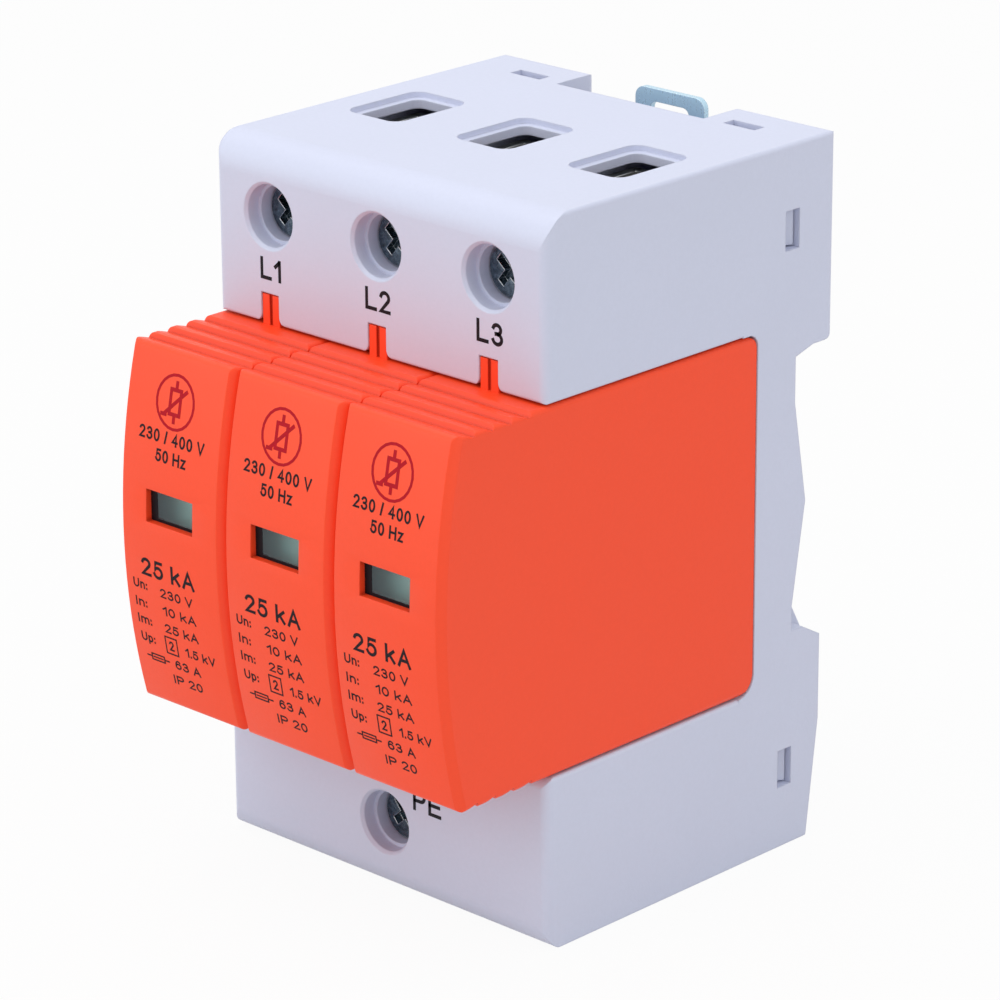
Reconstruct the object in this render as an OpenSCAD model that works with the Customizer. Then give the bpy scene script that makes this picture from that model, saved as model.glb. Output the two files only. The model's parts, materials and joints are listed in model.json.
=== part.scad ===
// Three-pole surge arrester for a 35 mm rail: a base with screw terminals and plug-in modules.
// X runs across the poles, the front faces -Y and +Z is up.
// The origin is the middle of the plane that the front of the rail lies in.

/* [Poles] */
// Width of one pole
pole_pitch = 18; // [17.5:0.1:20]

/* [Base] */
// Overall height of the base
body_h = 90; // [84:0.5:96]
// Rail centre above the middle of the base
rail_rise = 0.8; // [0:0.1:2]
// Front of the terminal blocks ahead of the rail plane
shoulder_d = 43.4; // [43:0.1:46]
// Height of the bay for the modules
bay_h = 45.9; // [45:0.1:46.5]
// Rear face of the bay ahead of the rail plane
spine_d = 6.9; // [6.8:0.1:8]
// Moulded wall
wall = 1.8; // [1.5:0.1:2.1]
// Wall behind the bay
bay_wall = 1.3; // [1:0.1:1.5]
// Radius of the upper front edge
brow_r = 4.2; // [2:0.1:4.5]
// Radius of the lower front edge
chin_r = 3; // [2:0.1:3.4]
// Radius of the upper block's lower front edge
toe_r = 0.4; // [0.3:0.1:1]
// Radius of the lower block's upper front edge
ledge_r = 1.5; // [0.5:0.1:1.8]
// Radius of the upright front edges
edge_r = 1.2; // [0.5:0.1:1.4]
// Radius of the blocks' upper side edges
top_r = 0.5; // [0.3:0.1:1]
// Radius of the blocks' lower side edges
skirt_r = 0.4; // [0.3:0.1:1]
// Radius in the upper rear corner of the bay
bay_r = 1.6; // [1:0.1:1.8]
// Radius in the lower rear corner of the bay
sump_r = 2.7; // [1.6:0.1:3]

/* [Rail profile] */
// Width of the rail
rail_w = 35; // [35:0.5:36]
// Room between the rail's edge and the upper lugs
rail_gap = 0.1; // [0.05:0.05:0.3]
// Thickness of the rail's lips
rail_lip = 1; // [1:0.1:1.5]
// Upper lugs behind the rail plane
lug_d = 7.2; // [6.6:0.1:7.3]
// Rise of the lugs' underside
lug_rise = 0.9; // [0.5:0.1:1.2]
// Length of the slope under the lugs
lug_ramp = 3.2; // [2.5:0.1:3.6]
// Radius of the lugs' lower edge
lug_r = 2; // [1:0.1:2.4]
// Radius of the lugs' upper rear edge
lug_top_r = 1.3; // [0.6:0.1:1.4]
// Radius of the lugs' upright rear edges
lug_side_r = 1.5; // [0.8:0.1:1.5]
// Width of the notch between the lugs
notch_w = 24; // [22:0.5:28]
// Flat seat below the rail's upper edge
seat_upper = 5.7; // [4:0.1:7]
// Flat seat above the rail's lower edge
seat_lower = 3.3; // [2.5:0.1:5]
// Bulge of the back into the rail's channel
bulge_d = 2.2; // [1.5:0.1:3]
// Drop of the bulge's crest below the rail's centre
bulge_drop = 1.1; // [0:0.1:2]
// Level top of the lower lug
foot_top = 2.1; // [1.8:0.1:2.6]
// Lower lug behind the rail plane
foot_d = 5.3; // [5:0.1:6]
// Drop of the lower lug's chamfer
foot_chamfer = 1.8; // [1:0.1:2.5]
// Upright face of the lower lug
foot_face = 11.2; // [9:0.1:13]
// Reach of the back at its lower edge
foot_toe = 3.3; // [3:0.1:4]
// Height of the fixed hook's lip above the lower lug
hook_h = 1.4; // [1:0.1:1.8]
// Thickness of the hook's lip
hook_t = 2.2; // [1.5:0.1:2.6]
// Inset of the hook from the cover's ends
hook_inset = 1; // [0.5:0.1:3]

/* [Rear cover] */
// Thickness of the cover
cover_t = 1.5; // [1.2:0.1:1.6]
// Room between the cover and the housing
cover_gap = 0.1; // [0.05:0.05:0.2]
// Length of the snap windows
snap_l = 4.9; // [3.5:0.1:5.2]
// Width of the snap windows in the sides
snap_w = 2.5; // [1.9:0.1:2.8]
// Width of the snap windows in the top
top_snap_w = 1.9; // [1.6:0.1:2.4]
// Reach of the snap hooks into the windows
snap_d = 1.1; // [0.8:0.1:1.4]
// Snap windows in the sides, from the top and the bottom
snap_inset = 10.6; // [8:0.1:12]
// Snap windows in the sides ahead of the rail plane
snap_ahead = 0.95; // [0.5:0.05:1]
// Snap windows in the top, from the middle
snap_x = 17.5; // [16.5:0.1:19]

/* [Rail clip] */
// Width of the clip
clip_w = 11.2; // [10.6:0.1:12]
// Thickness of the clip's plate
clip_t = 0.8; // [0.8:0.1:1.1]
// Clip to the right of the middle
clip_x = 2.1; // [0:0.1:2.4]
// Clip above the top of the base
clip_rise = 0.5; // [0:0.1:1]
// Room between the clip and its guides
clip_gap = 0.1; // [0.05:0.05:0.15]
// Travel of the clip
clip_travel = 4; // [3:0.1:4.2]
// Hold of the clip's nose behind the rail
clip_hold = 1.4; // [1:0.1:1.8]
// Width of the pull window
pull_w = 6.3; // [5:0.1:7]
// Height of the pull window
pull_h = 8; // [6:0.1:9]
// Bar above the pull window
pull_bar = 1.6; // [1.4:0.1:2.4]
// Corner radius of the pull window
pull_r = 1; // [0.5:0.1:1.5]
// Radius of the clip's upper corners
clip_r = 1.4; // [1:0.1:2.4]
// Lip of the guides over the plate
guide_lip = 1.3; // [0.9:0.1:1.4]
// Wall beside the plate in the guides
guide_wall = 1.6; // [1.2:0.1:2]
// Top of the guides below the top of the base
guide_drop = 6; // [5:0.1:8]
// Width of the spring's post
post_w = 4.6; // [4:0.1:5]
// Height of the spring's post
post_h = 2; // [1.6:0.1:2.4]
// Length of the spring at rest
spring_l = 9.8; // [9:0.1:10.5]
// Outer diameter of the spring
spring_d = 2.8; // [2.4:0.1:2.9]
// Wire of the spring
spring_wire = 0.5; // [0.4:0.05:0.6]
// Turns of the spring
spring_turns = 6; // [5:0.5:7]

/* [Terminals] */
// Screw thread
screw_d = 5; // [4:0.5:5]
// Running clearance of the screw in the cage
thread_gap = 0.05; // [0.03:0.01:0.08]
// Screw head
head_d = 6.3; // [6:0.1:6.5]
// Height of the screw head
head_h = 1.6; // [1.5:0.1:1.8]
// Screw head below the front face
head_depth = 3.6; // [3:0.1:3.7]
// Length of the cross in the head
cross_l = 4.4; // [3.6:0.1:5]
// Width of the cross in the head
cross_w = 1.1; // [0.8:0.1:1.4]
// Depth of the cross in the head
cross_d = 1.1; // [0.8:0.1:1.2]
// Turn of the cross at rest
cross_turn = 40; // [0:5:85]
// Driver hole
driver_d = 6.8; // [6.7:0.1:7]
// Counterbore of the driver hole
counterbore_d = 7.7; // [7.4:0.1:8]
// Depth of the counterbore
counterbore_h = 2.1; // [0.8:0.1:2.3]
// Mouth of the driver hole
mouth_d = 8.4; // [8.1:0.1:8.8]
// Depth of the slope at the mouth
mouth_h = 0.4; // [0.2:0.1:0.6]
// Wall of the boss round the driver hole
boss_wall = 1.3; // [1:0.1:1.6]
// Wire entry ahead of the rail plane
entry_d = 20; // [19:0.1:20.5]
// Wire entry across the pole
entry_w = 6.9; // [6:0.1:7.4]
// Wire entry along the screw
entry_l = 10.6; // [9.5:0.1:11]
// Corner radius of the wire entry
entry_r = 1.3; // [0.8:0.1:2.4]
// Step round the wire entry
step_w = 1; // [0.6:0.1:1.2]
// Depth of that step
step_h = 0.7; // [0.3:0.1:0.9]
// Corner radius of the step
step_r = 1.8; // [1:0.1:2.8]
// Room for the wire across the cage
clamp_w = 6.4; // [5.4:0.1:6.8]
// Room for the wire along the screw
clamp_l = 9.9; // [9:0.1:10]
// Room between the cage and the wall that the wire comes through
cage_head = 1; // [0.6:0.1:1.2]
// Room between the cage and the bar under it
cage_foot = 1.1; // [0.6:0.1:1.2]
// Wall of the cage
cage_t = 1.3; // [1:0.1:1.5]
// Threaded wall of the cage
nut_t = 2.6; // [2.2:0.1:3]
// Thickness of the copper bars
bar_t = 1.2; // [1:0.1:1.3]
// Width of the copper bars
bar_w = 5; // [4.5:0.1:5.5]
// Room between the bars and the pieces that move past them
bar_gap = 0.3; // [0.2:0.05:0.4]

/* [Plug contacts] */
// Thickness of the blades
blade_t = 0.8; // [0.6:0.1:1]
// Width of the blades
blade_w = 6.3; // [5:0.1:6.5]
// Blades from the middle of the module
blade_h = 3; // [2.5:0.1:3.5]
// Room between a blade and the fork
fork_gap = 0.15; // [0.1:0.05:0.2]
// Thickness of the fork's tines
tine_t = 0.8; // [0.6:0.1:1]
// Room round the blades in the moulded slots
slot_gap = 0.3; // [0.2:0.05:0.4]

/* [Modules] */
// Room between the modules
mod_gap = 0.2; // [0.1:0.05:0.3]
// Room between the modules and the bay
bay_gap = 0.25; // [0.15:0.05:0.35]
// Room behind the modules
seat_gap = 0.1; // [0.05:0.05:0.2]
// Peak of the module's front ahead of the rail plane
front_d = 60.6; // [60:0.1:64]
// Radius of the front
front_r = 88; // [80:1:110]
// Radius of the front's upper and lower edges
lip_r = 1; // [0.6:0.1:1.3]
// Front bevel across the module
bevel_w = 0.8; // [0.5:0.1:1.1]
// Front bevel along the depth
bevel_d = 1; // [0.6:0.1:1.3]
// Radius of the module's long edges
mod_r = 0.6; // [0.4:0.1:0.9]
// Wall of the module
case_wall = 1.6; // [1.4:0.1:1.8]
// Depth of the grip grooves
rib_depth = 0.65; // [0.4:0.05:0.8]
// Spacing of the grip grooves
rib_pitch = 3; // [2.7:0.1:3.1]
// Slope of a grip groove
rib_slope = 2; // [1.6:0.1:2.1]
// Steep side of a grip groove
rib_steep = 0.35; // [0.2:0.05:0.5]
// First grip groove behind the peak of the front
rib_start = 5.7; // [5.5:0.1:6.2]
// Height of the key on the module's top
key_h = 3.35; // [2.6:0.05:3.4]
// Width of the key
key_w = 2.7; // [2:0.1:2.8]
// Front of the key behind the front of the blocks
key_set = 0.75; // [0.3:0.05:1.5]
// Rear end of the key ahead of the rail plane
key_end = 13; // [12:0.1:16]
// Groove in the key's nose
key_groove = 0.5; // [0.3:0.1:0.8]
// Depth of that groove
key_nick = 0.4; // [0.2:0.1:0.8]
// Room round the key in its slot
key_gap = 0.15; // [0.1:0.05:0.3]
// Radius at the mouth of the key slot
key_flare = 1.1; // [0.8:0.1:1.4]
// Roof over the key slot
key_roof = 1.2; // [1:0.1:1.4]

/* [Indicator] */
// Window across the module
pane_w = 8; // [6:0.1:9]
// Height of the window
pane_h = 4.1; // [3:0.1:4.2]
// Window above the middle of the module
pane_z = 3.6; // [2:0.1:5]
// Pane below the peak of the front
pane_depth = 0.9; // [0.9:0.1:1.4]
// Rim of the pane behind the wall
pane_rim = 0.8; // [0.6:0.1:1.2]
// Thickness of the pane's rim
pane_t = 1.2; // [0.9:0.1:1.4]
// Room round the pane and the flag
pane_gap = 0.1; // [0.05:0.05:0.15]
// Thickness of the flag
flag_t = 0.8; // [0.6:0.1:1]
// Margin of the flag beyond the window
flag_rim = 0.4; // [0.3:0.1:0.6]
// Travel of the flag
flag_travel = 4.4; // [4:0.1:4.8]
// Thickness of the stop and the guides of the flag
guide_t = 1; // [0.8:0.1:1.4]

/* [Varistor] */
// Side of the varistor
block_l = 34; // [30:0.5:35]
// Thickness of the varistor
block_t = 7; // [6:0.1:7.4]
// Corner radius of the varistor
block_r = 3; // [2:0.1:5]
// Varistor to the left of the pole's middle
block_shift = 0.7; // [0.4:0.1:1]
// Varistor ahead of the rail plane
block_d = 14; // [13.5:0.1:15]
// Length of the blades' tails along the varistor
tail_l = 9; // [7:0.1:12]
// Thickness of the release arm
arm_t = 0.6; // [0.4:0.1:0.7]
// Width of the release arm
arm_w = 5; // [4:0.1:6]
// Soldered spot of the release arm, from the varistor's front
arm_spot = 8; // [6:0.1:10]
// Reach of the release arm past the varistor's front
arm_reach = 4; // [2:0.1:5]

/* [Hidden] */
$fn = 48;
arc_fn = 180;
POLES = [1, 2, 3];
eps = 0.05;
far = 200;

// Planes of the base
body_w = len(POLES) * pole_pitch;
z_mid = -rail_rise;
z_top = z_mid + body_h / 2;
z_bottom = z_mid - body_h / 2;
y_front = -shoulder_d;
y_bay = -spine_d;
h_out = body_h / 2;
h_in = bay_h / 2;
room_w = pole_pitch - 2 * wall;
cover_w = body_w - 2 * (wall + cover_gap);
lug_z = rail_w / 2 + rail_gap + lug_rise;
foot_z = -rail_w / 2;

// Places of a terminal's cage, and of the screw in the middle of it
key_slot_w = key_w + 2 * key_gap;
key_slot_h = key_h + key_gap + bay_gap;
roof_h = h_in + key_slot_h + key_roof;
roof_w = key_slot_w + 2 * key_roof;
cage_low = roof_h + bar_t + cage_foot;
cage_high = h_out - wall - cage_head;
screw_h = (cage_low + cage_high) / 2;
head_y = y_front + head_depth;
jaw_y = -entry_d - clamp_l / 2;
tip_y = jaw_y - bar_t - bar_gap / 2;
nut_y = jaw_y - bar_t - bar_gap;

// Places of the plug contacts
bar_rear = -cover_t - bar_gap;
bar_front = bar_rear - bar_t;
blade_tip = bar_front - bar_gap / 2;
tine_tip = y_bay + bay_wall + cover_gap;

// Places in a module
mod_w = pole_pitch - mod_gap;
mod_h = bay_h - 2 * bay_gap;
mod_rear = y_bay - seat_gap;
arc_y = front_r - front_d;
cavity_w = mod_w - 2 * case_wall;
cavity_h = mod_h - 2 * (case_wall + rib_depth);
back_front = mod_rear - case_wall;
rim_y = -front_d + case_wall + pane_rim / 2;
flag_y = rim_y + pane_t + pane_gap;
flag_h = pane_h + 2 * flag_rim + flag_travel;
flag_low = pane_z - pane_h / 2 - flag_rim - flag_travel;
block_right = block_t / 2 - block_shift;
block_left = block_right - block_t;
tail_y = -block_d + 2 * blade_t;

// Places of the rail clip
clip_rear = lug_d - guide_lip - clip_gap;
clip_front = clip_rear - clip_t;
clip_top = z_top + clip_rise;
nose_top = rail_w / 2 - clip_hold + clip_t;
nose_y = rail_lip + bar_gap;
post_z = nose_top + spring_l + 2 * clip_gap;
guide_z = nose_top + clip_travel + clip_t / 2;
spring_y = (nose_y + clip_front) / 2;

ivory = [0.86, 0.86, 0.89];
grey = [0.72, 0.73, 0.76];
orange = [0.98, 0.33, 0.18];
zinc = [0.62, 0.68, 0.74];
steel = [0.36, 0.40, 0.45];
copper = [0.80, 0.52, 0.34];
tin = [0.80, 0.80, 0.78];
ceramic = [0.20, 0.34, 0.55];
clear = [0.80, 0.88, 0.86, 0.5];
green = [0.35, 0.62, 0.45];

function pole_x(k) = (k - (len(POLES) + 1) / 2) * pole_pitch;

// Extrudes a (y, z) outline across the poles, about x = 0
module across(w) rotate([90, 0, 90]) linear_extrude(w, center = true) children();

// Extrudes an (x, z) outline from y0 back to y1
module deep(y0, y1) translate([0, y1, 0]) rotate([90, 0, 0]) linear_extrude(y1 - y0) children();

// Box between two corners
module block(low, high) translate(low) cube(high - low);

// Rectangle between two corners
module rect(low, high) translate(low) square(high - low);

// What a round of radius r leaves in the corner at p, with the round towards (sx, sy)
module corner(p, sx, sy, r) translate(p) difference() {
    translate([min(-sx * eps, sx * r), min(-sy * eps, sy * r)]) square(r + eps);
    translate([sx * r, sy * r]) circle(r);
}

// Rectangle with one radius at its lower corners and one at its upper corners
module rounded(low, high, r_low, r_high) difference() {
    rect(low, high);
    corner(low, 1, 1, r_low);
    corner([high.x, low.y], -1, 1, r_low);
    corner(high, -1, -1, r_high);
    corner([low.x, high.y], 1, -1, r_high);
}

// Puts a pole's pieces at its place, with heights counted from the middle and side -1 upside down
module at_pole(k, side = 1) translate([pole_x(k), 0, z_mid]) mirror([0, 0, side < 0 ? 1 : 0]) children();

// The middle pole carries the earth terminal
earth_pole = (len(POLES) + 1) / 2;

// Back of the base, from the lugs down to the foot
rear_line = [
    [lug_d, z_top], [lug_d, lug_z], [lug_ramp, lug_z], [0, rail_w / 2 + rail_gap],
    [0, rail_w / 2 - seat_upper], [bulge_d, -bulge_drop], [0, foot_z + seat_lower],
    [0, foot_z], [foot_top, foot_z], [foot_d, foot_z - foot_chamfer],
    [foot_d, foot_z - foot_chamfer - foot_face], [foot_toe, z_bottom]];

// Side view of the bay, rounded in its rear corners
module bay_side() difference() {
    rect([-far, z_mid - h_in], [y_bay, z_mid + h_in]);
    corner([y_bay, z_mid + h_in], -1, -1, bay_r);
    corner([y_bay, z_mid - h_in], -1, 1, sump_r);
}

// Side view of the base, with the bay cut out of its front
module base_side() difference() {
    polygon(concat(rear_line, [[y_front, z_bottom], [y_front, z_top]]));
    bay_side();
    corner([y_front, z_top], 1, -1, brow_r);
    corner([y_front, z_bottom], 1, 1, chin_r);
    corner([lug_d, z_top], -1, -1, lug_top_r);
    corner([lug_d, lug_z], -1, 1, lug_r);
    corner([y_front, z_mid + h_in], 1, 1, toe_r);
    corner([y_front, z_mid - h_in], 1, -1, ledge_r);
}

// Front view of the base: two blocks and the spine behind the bay
module base_front() {
    half = body_w / 2;
    deep(-far, y_bay) {
        rounded([-half, z_mid + h_in], [half, z_top], skirt_r, top_r);
        rounded([-half, z_bottom], [half, z_mid - h_in], skirt_r, top_r);
    }
    deep(y_bay - sump_r, far) rounded([-half, z_bottom], [half, z_top], skirt_r, top_r);
}

// Plan of the base, with rounded front edges
module base_plan() linear_extrude(far, center = true)
    rounded([-body_w / 2, y_front], [body_w / 2, far], edge_r, edge_r);

// What the rounds of the lugs' upright rear edges leave
module lug_corners() linear_extrude(far) for (side = [1, -1]) {
    corner([side * body_w / 2, lug_d], -side, -1, lug_side_r);
    corner([side * notch_w / 2, lug_d], side, -1, lug_side_r);
}

// Walls of the lugs beside the notch
module notch_walls() for (side = [0, 1]) mirror([side, 0, 0])
    block([notch_w / 2, cover_gap, rail_w / 2 + rail_gap], [notch_w / 2 + wall, far, far]);

// Hollow of one terminal block at one pole
module terminal_room(fitted) difference() {
    block([-room_w / 2, y_front + wall, h_in + wall], [room_w / 2, eps - cover_t, h_out - wall]);
    if (fitted) {
        translate([0, 0, screw_h]) rotate([90, 0, 0])
            cylinder(h = far, d = driver_d + 2 * boss_wall);
        block([-roof_w / 2, -far, 0], [roof_w / 2, -key_end + key_gap + key_roof, roof_h]);
    }
}

// The boss round a screw head ends just behind the head's rear face
module boss_end() block([-room_w / 2, head_y + head_h - bar_gap, roof_h],
    [room_w / 2, eps - cover_t, h_out - wall]);

// Stepped hole for the driver, from the sloped mouth to the end of the boss
module driver_hole() translate([0, y_front, screw_h]) rotate([-90, 0, 0]) {
    translate([0, 0, -eps]) cylinder(h = eps, d = mouth_d);
    cylinder(h = mouth_h, d1 = mouth_d, d2 = counterbore_d);
    cylinder(h = counterbore_h, d = counterbore_d);
    cylinder(h = head_depth + head_h, d = driver_d);
}

// Wire entry with a shallow step round it
module wire_entry() for (s = [[0, wall + eps, entry_r], [step_w, step_h, step_r]])
    translate([0, -entry_d, h_out - s[1]]) linear_extrude(s[1] + eps)
        rounded([-entry_w / 2 - s[0], -entry_l / 2 - s[0]], [entry_w / 2 + s[0], entry_l / 2 + s[0]],
            s[2], s[2]);

// Slot for a module's key, flared at its mouth
module key_slot() deep(-far, -key_end + key_gap) {
    half = key_slot_w / 2;
    rect([-half, h_in - eps], [half, h_in + key_slot_h]);
    for (side = [1, -1]) corner([side * half, h_in], side, 1, key_flare);
}

// Slots for the two blades of a module
module blade_slots() for (side = [1, -1]) {
    half = blade_t / 2 + slot_gap;
    mirror([0, 0, side < 0 ? 1 : 0])
        block([-half, y_bay - eps, blade_h - slot_gap], [half, 0, blade_h + blade_w + slot_gap]);
}

// Places of the snap windows in the sides: each child is drawn with its window's centre at the origin
module at_side_snaps() for (end = [z_top - snap_inset, z_bottom + snap_inset]) for (side = [0, 1])
    mirror([side, 0, 0]) translate([cover_w / 2, -snap_ahead, end]) children();

// Places of the snap windows in the top of the lugs
module at_top_snaps() for (side = [0, 1]) mirror([side, 0, 0])
    translate([snap_x, cover_gap + top_snap_w / 2, z_top - wall - cover_gap]) children();

module housing() color(ivory) difference() {
    intersection() {
        across(body_w) base_side();
        base_front();
        base_plan();
    }
    for (k = POLES) {
        at_pole(k) terminal_room(true);
        at_pole(k) boss_end();
        at_pole(k, -1) terminal_room(k == earth_pole);
        at_pole(k) driver_hole();
        at_pole(k) wire_entry();
        at_pole(k) key_slot();
        at_pole(k) blade_slots();
        at_pole(k) block([-room_w / 2, y_bay + bay_wall, -h_in - 2 * wall],
            [room_w / 2, eps - cover_t, h_in + 2 * wall]);
    }
    at_pole(earth_pole, -1) boss_end();
    at_pole(earth_pole, -1) driver_hole();
    at_pole(earth_pole, -1) wire_entry();
    lug_corners();
    // Room for the cover, open to the rear
    difference() {
        block([-body_w / 2 + wall, -cover_t - cover_gap, z_bottom + wall],
            [body_w / 2 - wall, far, z_top - wall]);
        notch_walls();
    }
    // Notch for the clip
    block([-notch_w / 2, 0, z_top - 2 * wall], [notch_w / 2, far, far]);
    // Passage of the earth bar from pole to pole
    at_pole(earth_pole, -1) block([-pole_pitch, y_bay + bay_wall, blade_h - bar_gap],
        [pole_pitch, 0, blade_h + blade_w + bar_gap]);
    at_side_snaps() block([-cover_gap, -snap_w / 2, -snap_l / 2], [2 * wall, snap_w / 2, snap_l / 2]);
    at_top_snaps() block([-snap_l / 2, -top_snap_w / 2, -cover_gap],
        [snap_l / 2, top_snap_w / 2, 2 * wall]);
}

// Snap hook in a window of width w: a wedge that rises towards +X along +Y, on an arm
module snap_hook(w) {
    end = w / 2 - 2 * cover_gap;
    linear_extrude(snap_l - 4 * cover_gap, center = true)
        polygon([[-cover_t, -w / 2], [0, -w / 2], [snap_d, end], [-cover_t, end]]);
}

// Guide at one edge of the clip, with a slot for the plate
module clip_guide() {
    inner = clip_w / 2 - guide_lip;
    difference() {
        block([inner, -eps, guide_z], [clip_w / 2 + clip_gap + guide_wall, lug_d, z_top - guide_drop]);
        block([0, clip_front - clip_gap, 0], [clip_w / 2 + clip_gap, clip_rear + clip_gap, far]);
    }
}

module rear_cover() color(grey) {
    low = z_bottom + wall + cover_gap;
    high = z_top - wall - cover_gap;
    half = cover_w / 2;
    lug_in = notch_w / 2 + wall + cover_gap;
    difference() {
        intersection() {
            across(cover_w) difference() {
                polygon(concat(rear_line, [[-cover_t, z_bottom], [-cover_t, z_top]]));
                corner([lug_d, lug_z], -1, 1, lug_r);
            }
            block([-half, -far, low], [half, far, high]);
        }
        block([-lug_in, 0, rail_w / 2], [lug_in, far, far]);
        for (side = [0, 1]) mirror([side, 0, 0])
            block([lug_in + cover_t, -far, lug_z + cover_t],
                [half - cover_t, lug_d - cover_t, high - cover_t]);
        block([-half + cover_t, -far, low + cover_t],
            [half - cover_t, foot_toe - cover_t, foot_z - foot_chamfer - cover_t]);
    }
    // Fixed hook for the rail's lower edge
    across(cover_w - 2 * hook_inset) polygon([
        [rail_lip + bar_gap, foot_z - eps], [rail_lip + bar_gap, foot_z + hook_h],
        [rail_lip + bar_gap + hook_t, foot_z + hook_h], [foot_d - eps, foot_z - foot_chamfer],
        [foot_d - eps, foot_z - foot_chamfer - eps], [foot_top, foot_z - foot_chamfer]]);
    at_side_snaps() snap_hook(snap_w);
    at_top_snaps() rotate([0, -90, 0]) snap_hook(top_snap_w);
    translate([clip_x, 0, 0]) {
        for (side = [0, 1]) mirror([side, 0, 0]) clip_guide();
        block([-post_w / 2, -eps, post_z], [post_w / 2, clip_rear, post_z + post_h]);
    }
}

module din_clip() color(zinc) translate([clip_x, 0, 0]) {
    half = clip_w / 2;
    stop = post_z + post_h + clip_gap;
    deep(clip_front, clip_rear) difference() {
        rect([-half, nose_top - clip_t], [half, clip_top]);
        for (side = [1, -1]) corner([side * half, clip_top], -side, -1, clip_r);
        translate([0, clip_top - pull_bar])
            rounded([-pull_w / 2, -pull_h], [pull_w / 2, 0], pull_r, pull_r);
        rect([-post_w / 2 - clip_gap, post_z - clip_travel - clip_t], [post_w / 2 + clip_gap, stop]);
    }
    block([-half, nose_y, nose_top - clip_t], [half, clip_front + eps, nose_top]);
}

// Closed tube of radius r along a list of points, with its rings square to the Z axis turned about it
module coil(turns, radius, length, r) {
    sides = 8;
    steps = 14 * turns;
    ring = [for (i = [0:steps]) let (a = 360 * turns * i / steps, z = r + (length - 2 * r) * i / steps)
        for (j = [0:sides - 1]) let (b = 360 * j / sides, d = radius + r * cos(b))
            [d * cos(a), d * sin(a), z + r * sin(b)]];
    sleeve = [for (i = [0:steps - 1]) for (j = [0:sides - 1]) let (n = (j + 1) % sides)
        [i * sides + j, i * sides + n, (i + 1) * sides + n, (i + 1) * sides + j]];
    first = [for (j = [0:sides - 1]) sides - 1 - j];
    last = [for (j = [0:sides - 1]) steps * sides + j];
    polyhedron(ring, concat(sleeve, [first, last]));
}

module clip_spring() color(steel) translate([clip_x, spring_y, nose_top + clip_gap])
    coil(spring_turns, (spring_d - spring_wire) / 2, spring_l, spring_wire / 2);

module screw() color(steel) translate([0, head_y, screw_h]) rotate([-90, 0, 0]) difference() {
    union() {
        cylinder(h = head_h, d = head_d);
        cylinder(h = tip_y - head_y, d = screw_d);
    }
    for (turn = [0, 90]) rotate(cross_turn + turn)
        block([-cross_l / 2, -cross_w / 2, -eps], [cross_l / 2, cross_w / 2, cross_d]);
}

module cage() color(zinc) difference() {
    rear = -entry_d + clamp_l / 2;
    block([-clamp_w / 2 - cage_t, nut_y - nut_t, cage_low],
        [clamp_w / 2 + cage_t, rear + cage_t, cage_high]);
    block([-clamp_w / 2, nut_y, cage_low - eps], [clamp_w / 2, rear, cage_high + eps]);
    translate([0, nut_y + eps, screw_h]) rotate([90, 0, 0])
        cylinder(h = nut_t + 2 * eps, r = screw_d / 2 + thread_gap);
}

// Bar from the fork, up the spine, forward over the roof and up into the cage
module terminal_bar(low) across(bar_w) {
    rect([bar_front, low], [bar_rear, roof_h + bar_t]);
    rect([jaw_y - bar_t, roof_h], [bar_rear, roof_h + bar_t]);
    rect([jaw_y - bar_t, roof_h], [jaw_y, cage_high]);
}

// Two tines beside a blade
module fork() for (side = [0, 1]) mirror([side, 0, 0])
    block([blade_t / 2 + fork_gap, tine_tip, blade_h],
        [blade_t / 2 + fork_gap + tine_t, bar_front + eps, blade_h + blade_w]);

module line_bar() color(copper) {
    terminal_bar(blade_h);
    fork();
}

module earth_bar() color(copper) {
    at_pole(earth_pole, -1) {
        terminal_bar(blade_h);
        half = pole_x(len(POLES)) + bar_w / 2;
        block([-half, bar_front, blade_h], [half, bar_rear, blade_h + blade_w]);
    }
    for (k = POLES) at_pole(k, -1) fork();
}

// Cuts the edge between a module's front arc and its top to a round
module lip_cut() {
    c = [arc_y - sqrt(pow(front_r - lip_r, 2) - pow(mod_h / 2 - lip_r, 2)), mod_h / 2 - lip_r];
    out = (c - [arc_y, 0]) / norm(c - [arc_y, 0]);
    difference() {
        polygon([c, c + [0, 3 * lip_r], c + [-3 * lip_r, 3 * lip_r], c + 3 * lip_r * out]);
        translate(c) circle(lip_r);
    }
}

// Side view of a module, with grip grooves in its top and bottom
module case_side() difference() {
    intersection() {
        rect([-front_d, -mod_h / 2], [mod_rear, mod_h / 2]);
        translate([arc_y, 0]) circle(front_r, $fn = arc_fn);
    }
    for (side = [0, 1]) mirror([0, side]) {
        corner([mod_rear, mod_h / 2], -1, -1, side == 0 ? bay_r : sump_r);
        lip_cut();
        for (i = [0:3]) translate([rib_start - front_d + i * rib_pitch, mod_h / 2])
            polygon([[-rib_slope, 1], [-rib_slope, 0], [0, -rib_depth], [rib_steep, 0], [rib_steep, 1]]);
    }
}

// Drum whose rim is the module's curved front with its side bevels
module bevelled_drum() translate([0, arc_y, 0]) rotate([0, 90, 0]) rotate_extrude($fn = arc_fn)
    polygon([[0, -mod_w / 2], [front_r - bevel_d, -mod_w / 2], [front_r, bevel_w - mod_w / 2],
        [front_r, mod_w / 2 - bevel_w], [front_r - bevel_d, mod_w / 2], [0, mod_w / 2]]);

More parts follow.
